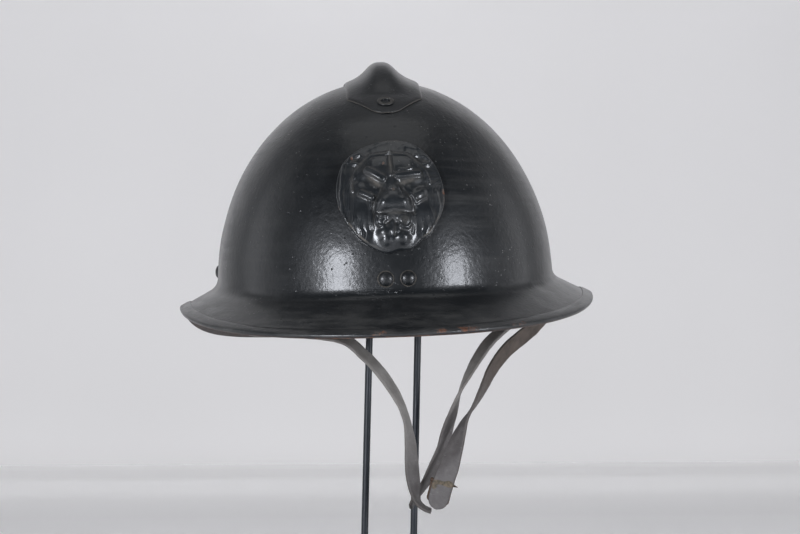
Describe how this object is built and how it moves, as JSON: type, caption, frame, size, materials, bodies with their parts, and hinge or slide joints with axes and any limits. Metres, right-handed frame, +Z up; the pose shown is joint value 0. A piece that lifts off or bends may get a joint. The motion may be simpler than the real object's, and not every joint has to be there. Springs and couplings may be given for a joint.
{
  "type": "adrian helmet on a two-rod stand",
  "caption": "Pressed-steel combed helmet with a lion's head badge and a leather chin strap, on a plain display stand.",
  "frame": {"origin": "middle of the stand's foot, on the surface that it stands on", "axes": "+Z up, the helmet's front towards -Y, the wearer's left side towards +X"},
  "size_m": [0.2314, 0.2921, 0.3007],
  "materials": {
    "black_paint": "worn semi-gloss black",
    "strap_leather": "dry, worn grey-brown",
    "rusty_steel": "rusted",
    "stand_paint": "dark satin"
  },
  "bodies": {
    "root": {"shell": "black_paint", "brim_edging": "black_paint", "comb": "black_paint", "comb_eyelet_front": "black_paint", "comb_eyelet_rear": "black_paint", "badge": "black_paint", "rivet_front_a": "black_paint", "rivet_front_b": "black_paint", "rivet_rear_a": "black_paint", "rivet_rear_b": "black_paint", "rivet_left_a": "black_paint", "rivet_left_b": "black_paint", "rivet_right_a": "black_paint", "rivet_right_b": "black_paint", "strap_bracket_left": "black_paint", "strap_bracket_right": "black_paint", "strap_left": "strap_leather", "strap_right": "strap_leather", "buckle": "rusty_steel", "buckle_prong": "rusty_steel", "stand_foot": "stand_paint", "stand_rod_left": "stand_paint", "stand_rod_right": "stand_paint", "stand_saddle": "stand_paint"}
  },
  "joints": []
}
